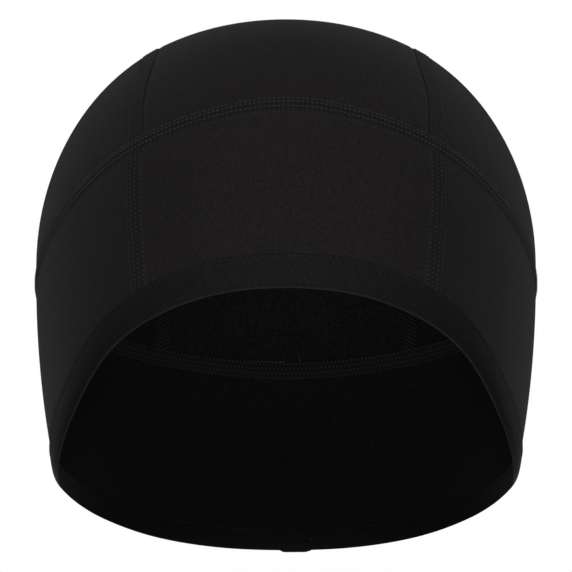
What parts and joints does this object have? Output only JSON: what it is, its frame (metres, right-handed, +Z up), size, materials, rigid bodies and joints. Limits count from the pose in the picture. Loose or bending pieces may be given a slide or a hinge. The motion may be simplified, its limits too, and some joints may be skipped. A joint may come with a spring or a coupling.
{
  "type": "helmet liner cap",
  "caption": "Close stretch skull cap with a centre strip, low ears and nape, flat seams and a bound rim, open below for the head.",
  "frame": {"origin": "the inside of the crown's top, where the cap sits on the head", "axes": "+Z up, -Y to the face, +X to the wearer's left"},
  "size_m": [0.1728, 0.207, 0.1676],
  "materials": {
    "jersey": "near-black brushed stretch jersey with a fine rib",
    "seam_thread": "near-black four-needle flat seam thread over lapped jersey",
    "binding_tape": "near-black smooth stretch tape, slightly warmer than the jersey"
  },
  "bodies": {
    "root": {"crown_strip": "jersey", "crown_side_left": "jersey", "crown_side_right": "jersey", "front_panel": "jersey", "nape_panel": "jersey", "cross_seam": "seam_thread", "crown_seam_left": "seam_thread", "crown_seam_right": "seam_thread", "front_seam_left": "seam_thread", "front_seam_right": "seam_thread", "rim_binding": "binding_tape"}
  },
  "joints": []
}
